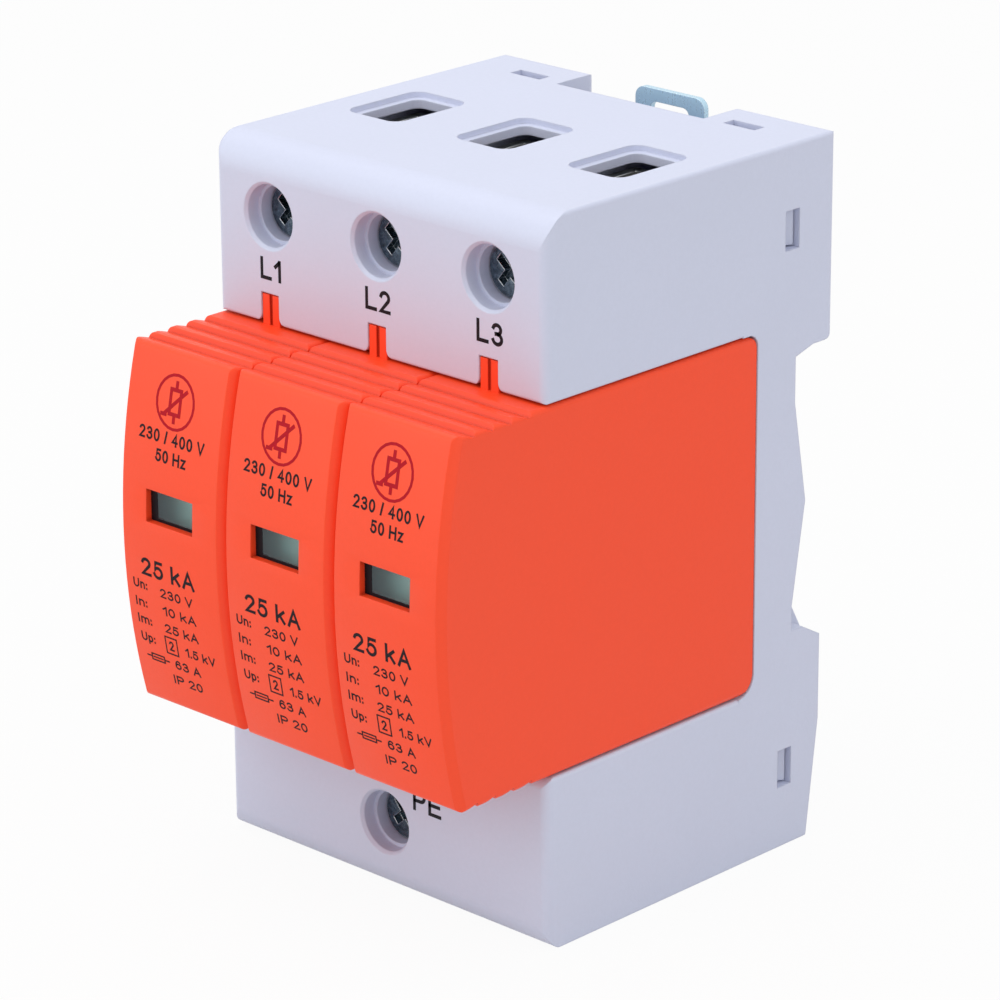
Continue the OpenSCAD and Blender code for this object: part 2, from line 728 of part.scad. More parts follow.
module module_case() color(orange) {
    difference() {
        intersection() {
            across(mod_w) case_side();
            bevelled_drum();
            deep(-far, far) rounded([-mod_w / 2, -mod_h / 2], [mod_w / 2, mod_h / 2], mod_r, mod_r);
        }
        across(cavity_w) intersection() {
            rect([-far, -cavity_h / 2], [far, cavity_h / 2]);
            translate([arc_y, 0]) circle(front_r - case_wall, $fn = arc_fn);
        }
        block([-pane_w / 2, -far, pane_z - pane_h / 2], [pane_w / 2, rim_y, pane_z + pane_h / 2]);
    }
    // Key on the top, with a groove in its nose
    difference() {
        block([-key_w / 2, y_front + key_set, mod_h / 2 - eps], [key_w / 2, -key_end, mod_h / 2 + key_h]);
        block([-key_groove / 2, y_front, mod_h / 2], [key_groove / 2, y_front + key_set + key_nick, far]);
    }
    // Stop under the flag, and a guide behind it on each side
    block([-cavity_w / 2 - eps, rim_y, flag_low - pane_gap - guide_t],
        [cavity_w / 2 + eps, flag_y + flag_t + pane_gap + guide_t, flag_low - pane_gap]);
    for (side = [0, 1]) mirror([side, 0, 0])
        block([cavity_w / 2 - guide_t, flag_y + flag_t + pane_gap, flag_low - pane_gap - eps],
            [cavity_w / 2 + eps, flag_y + flag_t + pane_gap + guide_t, flag_low + flag_h + flag_travel]);
    // Rim that closes the gap between the stop and the curved front
    across(cavity_w + 2 * eps) intersection() {
        rect([-far, flag_low - pane_gap - guide_t], [rim_y + eps, flag_low - pane_gap]);
        translate([arc_y, 0]) circle(front_r - case_wall / 2, $fn = arc_fn);
    }
}

module module_back() color(orange) difference() {
    half = [cavity_w / 2 - cover_gap, cavity_h / 2 - cover_gap];
    deep(back_front, mod_rear) rect(-half, half);
    for (side = [0, 1]) mirror([0, 0, side])
        block([-blade_t / 2 - cover_gap, -far, blade_h - cover_gap],
            [blade_t / 2 + cover_gap, far, blade_h + blade_w + cover_gap]);
}

module module_window() color(clear) {
    rim = [pane_w / 2 + pane_rim, pane_h / 2 + pane_rim];
    boss = [pane_w / 2 - pane_gap, pane_h / 2 - pane_gap];
    translate([0, 0, pane_z]) {
        deep(rim_y, rim_y + pane_t) rect(-rim, rim);
        deep(-front_d + pane_depth, rim_y + eps) rect(-boss, boss);
    }
}

module status_flag() color(green) {
    half = cavity_w / 2 - 2 * pane_gap;
    deep(flag_y, flag_y + flag_t) rect([-half, flag_low], [half, flag_low + flag_h]);
}

module varistor() color(ceramic) translate([block_left, 0, 0]) rotate([90, 0, 90]) linear_extrude(block_t)
    rounded([-block_d - block_l, -block_l / 2], [-block_d, block_l / 2], block_r, block_r);

// Blade that steps aside behind the varistor and runs along its face at x, with its tail towards dir
module blade(x, dir) translate([0, 0, blade_h]) linear_extrude(blade_w) {
    outer = x + dir * blade_t;
    rect([-blade_t / 2, tail_y - blade_t], [blade_t / 2, blade_tip]);
    rect([min(-dir * blade_t / 2, outer), tail_y - blade_t], [max(-dir * blade_t / 2, outer), tail_y]);
    rect([min(x, outer), -block_d - tail_l], [max(x, outer), tail_y]);
}

module line_blade() color(tin) blade(block_left, -1);

module earth_blade() color(tin) mirror([0, 0, 1]) blade(block_right + arm_t, 1);

// Spring strip on the earth blade's tail, bent in to the soldered spot and on towards the flag
module trip_arm() color(copper) translate([0, 0, -blade_h - blade_w / 2 - arm_w / 2]) linear_extrude(arm_w) {
    start = -block_d - tail_l / 3;
    bend = -block_d - tail_l - 2 * arm_t;
    spot = -block_d - block_l + arm_spot;
    end = -block_d - block_l - arm_reach;
    base = block_right + arm_t + blade_t;
    lift = block_right + 2 * arm_t;
    polygon([[base, start], [base, bend], [block_right, spot], [block_right, spot - arm_spot / 2],
        [lift, end], [lift + arm_t, end], [block_right + arm_t, spot - arm_spot / 2],
        [block_right + arm_t, spot], [base + arm_t, bend], [base + arm_t, start]]);
}

housing();
rear_cover();
din_clip();
clip_spring();
at_pole(earth_pole, -1) screw();  // earth_screw
at_pole(earth_pole, -1) cage();  // earth_cage
earth_bar();
for (k = POLES) {
    at_pole(k) screw();
    at_pole(k) cage();
    at_pole(k) line_bar();
    at_pole(k) module_case();
    at_pole(k) module_back();
    at_pole(k) module_window();
    at_pole(k) status_flag();
    at_pole(k) varistor();
    at_pole(k) line_blade();
    at_pole(k) earth_blade();
    at_pole(k) trip_arm();
}
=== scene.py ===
"""Looks of a three-pole surge arrester for a 35 mm rail, laid out as an add-on.

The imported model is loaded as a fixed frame. Each operator finishes one group of its pieces or adds
the print on them, and the last one sets the floor, the lamps and the camera.
"""

import json
import math

import bmesh
import bpy
from bpy.props import FloatProperty, FloatVectorProperty, PointerProperty
from mathutils import Matrix, Vector

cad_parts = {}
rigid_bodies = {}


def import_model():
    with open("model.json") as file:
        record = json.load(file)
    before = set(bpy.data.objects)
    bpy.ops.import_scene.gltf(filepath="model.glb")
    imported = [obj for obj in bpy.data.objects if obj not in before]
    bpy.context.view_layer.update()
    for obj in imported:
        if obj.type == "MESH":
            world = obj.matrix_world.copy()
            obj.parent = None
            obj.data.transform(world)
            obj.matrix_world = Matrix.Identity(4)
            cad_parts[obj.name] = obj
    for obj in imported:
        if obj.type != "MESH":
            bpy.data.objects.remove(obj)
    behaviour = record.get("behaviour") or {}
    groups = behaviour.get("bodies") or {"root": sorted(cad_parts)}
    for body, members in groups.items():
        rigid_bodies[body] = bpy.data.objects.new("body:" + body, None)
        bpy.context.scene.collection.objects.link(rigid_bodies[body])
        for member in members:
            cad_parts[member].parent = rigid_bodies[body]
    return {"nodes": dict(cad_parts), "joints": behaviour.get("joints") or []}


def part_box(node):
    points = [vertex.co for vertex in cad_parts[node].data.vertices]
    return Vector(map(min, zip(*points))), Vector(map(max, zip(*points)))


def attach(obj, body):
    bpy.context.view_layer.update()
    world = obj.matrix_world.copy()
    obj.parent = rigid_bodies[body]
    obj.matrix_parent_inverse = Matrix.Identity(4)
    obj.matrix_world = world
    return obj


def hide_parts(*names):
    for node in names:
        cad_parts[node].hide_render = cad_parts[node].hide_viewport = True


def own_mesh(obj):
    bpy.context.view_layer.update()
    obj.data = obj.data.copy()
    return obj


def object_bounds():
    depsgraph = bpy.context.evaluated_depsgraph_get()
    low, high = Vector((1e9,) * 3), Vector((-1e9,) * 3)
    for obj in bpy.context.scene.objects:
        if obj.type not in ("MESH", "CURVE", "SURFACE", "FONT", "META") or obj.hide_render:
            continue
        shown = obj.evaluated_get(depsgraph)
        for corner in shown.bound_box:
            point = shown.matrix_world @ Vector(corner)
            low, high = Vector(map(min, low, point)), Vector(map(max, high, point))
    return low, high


for left_over in list(bpy.data.objects):
    bpy.data.objects.remove(left_over)
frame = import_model()
CAD_BOX = [list(corner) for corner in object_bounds()]
BASE_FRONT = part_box("housing")[0][1]
MODULE_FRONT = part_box("module_case_1")[0][1]

bl_info = {
    "name": "Rail Surge Arrester Looks",
    "version": (1, 0, 0),
    "blender": (4, 5, 0),
    "location": "View3D > Sidebar > Arrester",
    "description": "Finishes, print and studio of a three-pole surge arrester",
    "category": "Object",
}

POLES = (1, 2, 3)
MM = 0.001

# The arc of a module's front, half of a window's width and height, and the middles of the print.
FRONT_RADIUS, FRONT_MIDDLE = 88.0 * MM, -0.8 * MM
WINDOW_HALF_X, WINDOW_HALF_Z = 3.95 * MM, 2.0 * MM
LINE_MARK_ASIDE, LINE_MARK_Z = 0.25 * MM, 28.93 * MM
EARTH_MARK_X, EARTH_MARK_Z = 7.30 * MM, -32.5 * MM
SYMBOL_Z = 16.1 * MM

# Points nearer than WELD are one point and faces flatter than FLAT_ANGLE are one face. Edges
# sharper than SHARP_ANGLE get a round in steps. Shaded rounds and grooves are sampled.
WELD = 0.002 * MM
FLAT_ANGLE, SHARP_ANGLE = math.radians(0.4), math.radians(28.0)
ROUND_STEPS, SHADE_SAMPLES = 3, 6

# Border of a flag's two colours as shares of its height, the painted shade at the bottom of a
# groove as a share of the colour, and the grain of the cover as a multiple of the base's.
FOOT_BORDER = (0.415, 0.425)
GROOVE_SHADE = 0.16
COVER_GRAIN = 1.3

# Degrees between the points of a bow, the gap between letters and the stroke of the ratings as
# shares of a letter's height, and the cosine of half the sharpest bend with a full mitre.
BOW_STEP = 15.0
LETTER_GAP, RATING_WEIGHT = 0.16, 0.17
MITRE_LIMIT = 0.5

# The studio. Each lamp has a place in metres, a side length and the name of its power.
WHITE, FLOOR_GREY = (1.0, 1.0, 1.0, 1.0), (0.70, 0.70, 0.70, 1.0)
FLOOR_REACH = 3.0
LAMPS = (
    ("top_softbox", (-0.10, -0.10, 0.85), 0.9, "top_power"),
    ("front_softbox", (-0.42, -0.80, 0.34), 0.8, "front_power"),
    ("side_softbox", (0.85, -0.10, 0.30), 0.8, "side_power"),
)
SENSOR_WIDTH = 36.0
NEAREST, FARTHEST = 0.01, 20.0


def mm(*values):
    """Lengths in millimetres as metres."""
    return tuple(value * MM for value in values)


def colour_property(name, description, default):
    """A linear colour that the user can change."""
    return FloatVectorProperty(
        name=name, description=description, default=default,
        subtype="COLOR", size=3, min=0.0, max=1.0,
    )


def length_property(name, description, default):
    """A length in metres that the user can change."""
    return FloatProperty(
        name=name, description=description, default=default, unit="LENGTH", precision=6, min=0.0
    )


def angle_property(name, description, degrees):
    """An angle that the user can change."""
    return FloatProperty(
        name=name, description=description, default=math.radians(degrees),
        subtype="ANGLE", precision=4,
    )


def power_property(name, description, default):
    """A lamp's power in watts that the user can change."""
    return FloatProperty(
        name=name, description=description, default=default, unit="POWER", min=0.0
    )


class ArresterColours(bpy.types.PropertyGroup):
    """Colours of the arrester's materials."""

    base: colour_property("Base", "Cool white plastic of the base", (0.616, 0.648, 0.798))
    cover: colour_property("Cover", "Plastic of the rear cover", (0.585, 0.615, 0.750))
    module: colour_property("Modules", "Orange plastic of the modules", (0.985, 0.072, 0.017))
    ink: colour_property("Ink", "Black print", (0.010, 0.008, 0.012))
    symbol: colour_property("Symbol ink", "Dark red print", (0.420, 0.004, 0.014))
    pane: colour_property("Pane", "Tint of the window", (0.320, 0.450, 0.460))
    flag: colour_property("Flag", "Green of the state flag's upper half", (0.550, 0.950, 0.880))
    alarm: colour_property("Alarm", "Red of the state flag's lower half", (0.950, 0.040, 0.025))
    zinc: colour_property("Zinc", "Blue zinc plating of the clip", (0.500, 0.735, 0.890))
    cage: colour_property("Cage", "Zinc plating of the cages", (0.560, 0.580, 0.590))
    screw: colour_property("Screw", "Dark plating of the screws", (0.100, 0.128, 0.150))
    spring: colour_property("Spring", "Drawn spring wire", (0.340, 0.350, 0.370))
    copper: colour_property("Copper", "Rolled copper of the bars", (0.780, 0.370, 0.200))
    tin: colour_property("Tin", "Tinned copper of the blades", (0.700, 0.695, 0.665))
    varistor: colour_property("Varistor", "Epoxy coat of the varistors", (0.020, 0.085, 0.240))


class ArresterSizes(bpy.types.PropertyGroup):
    """Sizes of the fine work that the finishes add."""

    mould_soft: length_property("Moulded soft edge", "Round shaded on the base's edges", 0.22 * MM)
    module_soft: length_property("Module soft edge", "Round shaded on the modules", 0.15 * MM)
    cover_edge: length_property("Cover edge", "Round cut on the cover's sharp edges", 0.08 * MM)
    module_edge: length_property("Module edge", "Round cut on the modules' edges", 0.05 * MM)
    key_edge: length_property("Key edge", "Round on the edges of a module's key", 0.08 * MM)
    metal_edge: length_property("Metal edge", "Round on stamped and turned edges", 0.12 * MM)
    arm_edge: length_property("Arm edge", "Round on the edges of a release arm", 0.08 * MM)
    coat_edge: length_property("Coat edge", "Round on the edges of a dipped coat", 0.60 * MM)
    # Reach of the painted shade in grooves.
    groove: length_property("Groove", "Reach of the darker tone in grooves", 0.70 * MM)
    grain: length_property("Grain", "Size of the moulded grain", 0.32 * MM)
    ink_height: length_property("Ink height", "Height of the print over the surface", 0.02 * MM)
    mark_height: length_property("Mark height", "Height of the terminal marks", 2.75 * MM)
    mark_weight: length_property("Mark weight", "Stroke of the terminal marks", 0.46 * MM)
    # The black bars round a window are painted shadow of the hollow round its pane, widest at the
    # left.
    shadow_left: length_property("Mask left", "Black border at the left of a window", 1.15 * MM)
    shadow_foot: length_property("Mask foot", "Black border below a window", 0.40 * MM)
    shadow_rest: length_property("Mask rest", "Black border at a window's other sides", 0.12 * MM)
    key_set: length_property("Key set", "Front of a key below the front of the base", 0.14 * MM)


class ArresterStudio(bpy.types.PropertyGroup):
    """Camera and light."""

    azimuth: angle_property("Azimuth", "Camera to the right of the front", 43.9335)
    elevation: angle_property("Elevation", "Camera above the horizon", 19.8209)
    roll: angle_property("Roll", "Turn of the camera about its own axis", -0.3537)
    distance: length_property("Distance", "Camera to the aim", 0.57531)
    lens: FloatProperty(
        name="Lens", description="Focal length in millimetres", default=167.63,
        unit="CAMERA", min=1.0,
    )
    aim: FloatVectorProperty(
        name="Aim", description="Point that the camera looks at",
        default=(-0.00765, -0.01502, -0.00507), subtype="TRANSLATION", size=3, precision=6,
    )
    ambient: FloatProperty(
        name="Ambient", description="Light of the studio's white walls", default=0.60, min=0.0
    )
    top_power: power_property("Top lamp", "Softbox above", 3.95)
    front_power: power_property("Front lamp", "Softbox at the front left", 2.5)
    side_power: power_property("Side lamp", "Softbox at the right", 1.75)
    floor_white: FloatProperty(
        name="Floor white", description="Share of plain white in the floor as the camera sees it",
        default=0.94, min=0.0, max=1.0, subtype="FACTOR",
    )


class Wire:
    """A shader socket that takes part in plain arithmetic."""

    def __init__(self, finish, socket):
        self.finish = finish
        self.socket = socket

    def maths(self, operation, *values):
        """Adds a Math node."""
        settings = {"operation": operation}
        return self.finish.node("ShaderNodeMath", settings, dict(enumerate(values)))

    def __add__(self, other):
        return self.maths("ADD", self, other)

    def __sub__(self, other):
        return self.maths("SUBTRACT", self, other)

    def __rsub__(self, other):
        return self.maths("SUBTRACT", other, self)

    def __mul__(self, other):
        return self.maths("MULTIPLY", self, other)

    __radd__ = __add__
    __rmul__ = __mul__

    def swing(self, width):
        """A value from 0 to 1 as a swing of the given width about 0."""
        return (self - 0.5) * width


class Finish:
    """The node tree of one material or of the world."""

    def __init__(self, owner):
        self.owner = owner
        owner.use_nodes = True
        self.tree = owner.node_tree
        self.tree.nodes.clear()

    @classmethod
    def material(cls, name):
        """An empty material."""
        return cls(bpy.data.materials.new(name))

    def node(self, kind, settings=None, sockets=None, output=0):
        """Adds a node, applies its settings, sets or links its sockets, and returns one output."""
        made = self.tree.nodes.new(kind)
        for name, value in (settings or {}).items():
            if name == "stops":
                stops = made.color_ramp.elements
                while len(stops) < len(value):
                    stops.new(1.0)
                for stop, (place, grey) in zip(stops, value):
                    stop.position, stop.color = place, (grey, grey, grey, 1.0)
            else:
                setattr(made, name, value)
        for key, value in (sockets or {}).items():
            if isinstance(value, Wire):
                self.tree.links.new(value.socket, made.inputs[key])
            else:
                made.inputs[key].default_value = value
        return Wire(self, made.outputs[output]) if made.outputs else None

    def place(self):
        """Coordinates that stay with the piece, in metres."""
        return self.node("ShaderNodeTexCoord", output="Object")

    def box_place(self):
        """Coordinates from 0 to 1 over the piece's box."""
        return self.node("ShaderNodeTexCoord", output="Generated")

    def vectors(self, operation, *values, output=0):
        """Adds a Vector Math node."""
        settings = {"operation": operation}
        return self.node("ShaderNodeVectorMath", settings, dict(enumerate(values)), output)

    def noise(self, vector, size, detail=2.0, roughness=0.5):
        """Noise whose cells are about size metres wide."""
        sockets = {"Vector": vector, "Scale": 1.0 / size, "Detail": detail, "Roughness": roughness}
        return self.node("ShaderNodeTexNoise", None, sockets)

    def blend(self, share, one, other):
        """A colour between two colours."""
        sockets = {0: share, 6: rgba(one), 7: rgba(other)}
        return self.node("ShaderNodeMix", {"data_type": "RGBA"}, sockets, output=2)

    def ramp(self, value, low, high):
        """A value spread so that low becomes 0 and high becomes 1."""
        return self.node("ShaderNodeValToRGB", {"stops": [(low, 0.0), (high, 1.0)]}, {0: value})

    def soft_normal(self, radius):
        """The normal of the piece as if its edges were rounds."""
        return self.node("ShaderNodeBevel", {"samples": SHADE_SAMPLES}, {"Radius": radius})

    def relief(self, height, depth, edge=0.0):
        """A normal with a height field depth metres deep, and with edges shaded as rounds."""
        sockets = {"Distance": depth, "Height": height}
        if edge > 0.0:
            sockets["Normal"] = self.soft_normal(edge)
        return self.node("ShaderNodeBump", None, sockets)

    def painted_edge_glint(self, radius):
        """Painted highlight: 0 on the flats, rising to 1 on edges within about radius."""
        soft = self.soft_normal(radius)
        true = self.node("ShaderNodeNewGeometry", output="Normal")
        like = self.vectors("DOT_PRODUCT", soft, true, output="Value")
        return self.ramp(1.0 - like, 0.02, 0.22)

    def painted_groove_shade(self, reach):
        """Painted shade: 0 on open faces, rising towards 1 in corners and grooves of the piece
        itself.
        """
        settings = {"samples": SHADE_SAMPLES, "only_local": True}
        sockets = {"Distance": reach}
        return 1.0 - self.node("ShaderNodeAmbientOcclusion", settings, sockets, output="AO")

    def surface(self, sockets):
        """Ends a material in one Principled shader."""
        shader = self.node("ShaderNodeBsdfPrincipled", None, sockets)
        self.node("ShaderNodeOutputMaterial", None, {"Surface": shader})
        return self.owner


def rgba(value):
    """A colour with its alpha, or a link as it is."""
    return value if isinstance(value, Wire) else (*value, 1.0)


def shade(colour, factor):
    """A colour made darker or lighter."""
    return tuple(min(1.0, part * factor) for part in colour)


def moulded_plastic(
    name, colour, grain, roughness, depth, edge=0.0, sheen=0.5, foot=None, groove=0.0
):
    """Spark-eroded moulded plastic: fine grain, a soft flow of shade and soft edges.

    A second colour, foot, is for the lower part of a piece's box. Corners that are nearer than
    groove to another face of the piece get painted shade.
    """
    finish = Finish.material(name)
    place = finish.place()
    fine = finish.noise(place, grain, detail=3.0, roughness=0.55)
    cloud = finish.noise(place, 16.0 * MM)
    speck = finish.ramp(finish.noise(place, grain * 1.7, detail=1.0), 0.30, 0.70)
    flow = finish.blend(cloud, shade(colour, 0.975), shade(colour, 1.02))
    tone = finish.blend(speck * 0.35, flow, shade(colour, 0.955))
    if foot is not None:
        rise = finish.node("ShaderNodeSeparateXYZ", None, {0: finish.box_place()}, output="Z")
        low = finish.blend(cloud, shade(foot, 0.94), shade(foot, 1.05))
        tone = finish.blend(finish.ramp(rise, *FOOT_BORDER), low, tone)
    # Painted shade in the piece's own corners and grooves.
    if groove > 0.0:
        tone = finish.blend(finish.painted_groove_shade(groove), tone, shade(colour, GROOVE_SHADE))
    sockets = {
        "Base Color": tone,
        "Roughness": roughness + fine.swing(0.16) + cloud.swing(0.08),
        "Normal": finish.relief(fine, depth, edge=edge),
        "IOR": 1.49,
        "Specular IOR Level": sheen,
    }
    return finish.surface(sockets)


def plated_steel(name, colour, roughness, streak, tint, edge=0.0, metal=1.0):
    """Plated sheet metal with drawing streaks, the clouds of a passivated coat and painted edge
    highlights.
    """
    finish = Finish.material(name)
    place = finish.place()
    along = finish.vectors("MULTIPLY", place, streak)
    lines = finish.noise(along, 1.1 * MM, detail=4.0, roughness=0.6)
    clouds = finish.noise(place, 4.2 * MM, detail=3.0)
    pits = finish.noise(place, 0.35 * MM)
    coat = finish.blend(clouds, shade(colour, 0.86), tint)
    tone = finish.blend(lines * 0.30, coat, shade(colour, 0.80))
    # With an edge round, the edges get a painted highlight in near white.
    if edge > 0.0:
        glint_white = (0.90, 0.94, 0.96)
        tone = finish.blend(finish.painted_edge_glint(edge) * 0.6, tone, glint_white)
    sockets = {
        "Base Color": tone,
        "Metallic": metal,
        "Roughness": roughness + lines.swing(0.22) + pits.swing(0.10),
        "Normal": finish.relief(lines + pits * 0.5, 0.002 * MM, edge=edge),
    }
    return finish.surface(sockets)


def turned_steel(name, colour, roughness):
    """Dark plated steel with the rings that turning leaves round the screw's axis, and painted edge
    glints.
    """
    finish = Finish.material(name)
    flat = finish.vectors("MULTIPLY", finish.box_place(), (1.0, 0.0, 1.0))
    aside = finish.vectors("SUBTRACT", flat, (0.5, 0.0, 0.5))
    radius = finish.vectors("LENGTH", aside, output="Value")
    ring_rate, glint_white = 190.0, (0.93, 0.96, 0.98)
    rings = radius.maths("SINE", radius * ring_rate) * 0.5 + 0.5
    scuffs = finish.noise(finish.place(), 0.6 * MM, detail=4.0, roughness=0.65)
    plating = finish.blend(finish.ramp(scuffs, 0.42, 0.72), colour, shade(colour, 1.9))
    sockets = {
        # Painted highlights in near white on the edges of the head and its cross.
        "Base Color": finish.blend(finish.painted_edge_glint(0.18 * MM) * 0.85, plating, glint_white),
        "Metallic": 1.0,
        "Roughness": roughness + scuffs.swing(0.20) + rings.swing(0.06),
        "Normal": finish.relief(rings * 0.4 + scuffs, 0.015 * MM, edge=0.14 * MM),
    }
    return finish.surface(sockets)


def rolled_metal(name, colour, roughness):
    """Rolled strip with long fine scratches and a little tarnish."""
    finish = Finish.material(name)
    place = finish.place()
    along = finish.vectors("MULTIPLY", place, (6.0, 1.0, 0.6))
    lines = finish.noise(along, 1.0 * MM, detail=4.0)
    tarnish = finish.noise(place, 5.0 * MM, detail=3.0)
    sockets = {
        "Base Color": finish.blend(finish.ramp(tarnish, 0.40, 0.75), colour, shade(colour, 0.62)),
        "Metallic": 1.0,
        "Roughness": roughness + lines.swing(0.20) + tarnish.swing(0.15),
        "Normal": finish.relief(lines, 0.010 * MM),
    }
    return finish.surface(sockets)


def dipped_epoxy(name, colour):
    """Dipped coat with an orange-peel surface."""
    finish = Finish.material(name)
    place = finish.place()
    peel = finish.noise(place, 1.4 * MM)
    cloud = finish.noise(place, 8.0 * MM)
    sockets = {
        "Base Color": finish.blend(cloud, shade(colour, 0.85), shade(colour, 1.15)),
        "Roughness": 0.28 + peel * 0.12,
        "Normal": finish.relief(peel, 0.06 * MM),
    }
    return finish.surface(sockets)


def window_pane(name, colour):
    """Clear moulded pane with a faint haze and painted shade at its left, through which the flag
    shows.
    """
    finish = Finish.material(name)
    place = finish.place()
    haze = finish.noise(place, 2.2 * MM, detail=3.0)
    dust = finish.ramp(finish.noise(place, 0.42 * MM, detail=1.0), 0.70, 0.76)
    across = finish.node("ShaderNodeSeparateXYZ", None, {0: finish.box_place()})
    # Painted shade: towards its left the pane is darker and less clear, as if shaded by its recess.
    clear = finish.ramp(across, 0.15, 0.75)
    shaded, dusty = (0.088, 0.118, 0.140), (0.75, 0.78, 0.78)
    tint = finish.blend(clear, shaded, colour)
    sockets = {
        "Base Color": finish.blend(dust * 0.8, tint, dusty),
        "Roughness": 0.10 + haze * 0.16,
        "Alpha": 0.38 - clear * 0.20,
        "IOR": 1.58,
        "Normal": finish.relief(haze, 0.02 * MM),
    }
    return finish.surface(sockets)


def print_and_shadow_ink(name, colour, roughness):
    """Pad-printed ink, a little thinner where the plastic's grain shows through; also the painted
    shadow.
    """
    finish = Finish.material(name)
    thin = finish.ramp(finish.noise(finish.place(), 0.30 * MM), 0.45, 0.80)
    sockets = {
        "Base Color": finish.blend(thin * 0.4, colour, shade(colour, 1.6)),
        "Roughness": roughness + thin * 0.12,
        "Specular IOR Level": 0.12,
        "Normal": finish.relief(thin, 0.01 * MM),
    }
    return finish.surface(sockets)


def values_of(context):
    """The colours and the sizes that are set on the scene."""
    return context.scene.arrester_colours, context.scene.arrester_sizes


def finish_node(name, material):
    """Gives a CAD piece its material and returns it."""
    if name not in frame["nodes"]:
        raise RuntimeError(f"the frame has no piece named {name}")
    piece = frame["nodes"][name]
    piece.data.materials.clear()
    piece.data.materials.append(material)
    return piece


def soften(piece, width):
    """Rounds a piece's sharp edges with modifiers, which leave its own mesh as it is."""
    weld = piece.modifiers.new("weld", "WELD")
    weld.merge_threshold = WELD
    flat = piece.modifiers.new("flat faces", "DECIMATE")
    flat.decimate_type = "DISSOLVE"
    flat.angle_limit = FLAT_ANGLE
    edge = piece.modifiers.new("edges", "BEVEL")
    edge.width = width
    edge.segments = ROUND_STEPS
    edge.limit_method = "ANGLE"
    edge.angle_limit = SHARP_ANGLE
    edge.use_clamp_overlap = False
    edge.loop_slide = False
    edge.miter_outer = "MITER_ARC"
    edge.harden_normals = True


def finish_all(names, material, width):
    """Gives several CAD pieces one material and soft edges."""
    for name in names:
        soften(finish_node(name, material), width)


def pole_names(*stems):
    """The names of like pieces on all poles."""
    return [f"{stem}_{pole}" for stem in stems for pole in POLES]


def pole_middle(pole):
    """Middle of a module's box across the poles."""
    low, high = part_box(f"module_case_{pole}")
    return (low[0] + high[0]) / 2


def front_of_base(x, z):
    """The flat front of the terminal blocks."""
    return BASE_FRONT


def front_of_module(x, z):
    """The curved front of a module, an arc about a line across the poles."""
    return MODULE_FRONT + FRONT_RADIUS - math.sqrt(FRONT_RADIUS**2 - (z - FRONT_MIDDLE) ** 2)


def bow(u, v, ru, rv, start, end):
    """Points along an arc of an ellipse, from one angle to another in degrees."""
    steps = max(4, round(abs(end - start) / BOW_STEP))
    angles = [math.radians(start + (end - start) * i / steps) for i in range(steps + 1)]
    return [(u + ru * math.cos(a), v + rv * math.sin(a)) for a in angles]


# Each letter's width as a share of its height, and its strokes in a box from 0 to 1.
LETTERS = {
    "0": (0.66, [bow(0.5, 0.5, 0.5, 0.5, 90, 450)]),
    "1": (0.42, [[(1, 1), (1, 0)], [(0, 0.72), (0.8, 0.94)]]),
    "2": (0.66, [bow(0.48, 0.73, 0.48, 0.27, 165, -35) + [(0, 0), (1, 0)]]),
    "3": (0.67, [bow(0.47, 0.76, 0.43, 0.24, 160, -70), bow(0.5, 0.27, 0.5, 0.27, 105, -160)]),
    "4": (0.68, [[(0.74, 0), (0.74, 1), (0, 0.3), (1, 0.3)]]),
    "5": (0.66, [[(0.94, 1), (0.2, 1), (0.08, 0.5)] + bow(0.47, 0.33, 0.53, 0.33, 130, -160)]),
    "6": (0.66, [bow(0.52, 0.5, 0.5, 0.5, 45, 180) + bow(0.5, 0.31, 0.5, 0.31, 180, 540)]),
    "A": (0.82, [[(0, 0), (0.5, 1), (1, 0)], [(0.2, 0.34), (0.8, 0.34)]]),
    "E": (0.78, [[(1, 1), (0, 1), (0, 0), (1, 0)], [(0, 0.52), (0.9, 0.52)]]),
    "H": (0.78, [[(0, 1), (0, 0)], [(1, 1), (1, 0)], [(0, 0.52), (1, 0.52)]]),
    "I": (0.17, [[(0, 1), (0, 0)]]),
    "L": (0.69, [[(0, 1), (0, 0), (1, 0)]]),
    "P": (0.77, [
        [(0, 0), (0, 1), (0.6, 1)] + bow(0.62, 0.74, 0.38, 0.26, 80, -80)
        + [(0.6, 0.48), (0, 0.48)]]),
    "U": (0.76, [[(0, 1), (0, 0.35)] + bow(0.5, 0.35, 0.5, 0.35, 190, 350) + [(1, 0.35), (1, 1)]]),
    "V": (0.82, [[(0, 1), (0.5, 0), (1, 1)]]),
    "k": (0.62, [[(0, 1), (0, 0)], [(0.95, 0.7), (0.1, 0.28)], [(0.4, 0.42), (1, 0)]]),
    "m": (0.96, [[(0, 0.7), (0, 0)]] + [
        [(u, 0.42)] + bow(u + 0.25, 0.46, 0.25, 0.24, 170, 10) + [(u + 0.5, 0)]
        for u in (0.0, 0.5)]),
    "n": (0.60, [[(0, 0.7), (0, 0)], [(0, 0.42)] + bow(0.5, 0.42, 0.5, 0.28, 170, 10) + [(1, 0)]]),
    "p": (0.62, [[(0, 0.7), (0, -0.28)], bow(0.5, 0.35, 0.5, 0.35, 180, 540)]),
    "z": (0.58, [[(0, 0.7), (1, 0.7), (0, 0), (1, 0)]]),
    ":": (0.17, [[(0, 0.6), (0, 0.55)], [(0, 0.05), (0, 0)]]),
    ".": (0.17, [[(0, 0.05), (0, 0)]]),
    "/": (0.34, [[(0, 0), (1, 1)]]),
    " ": (0.22, []),
}

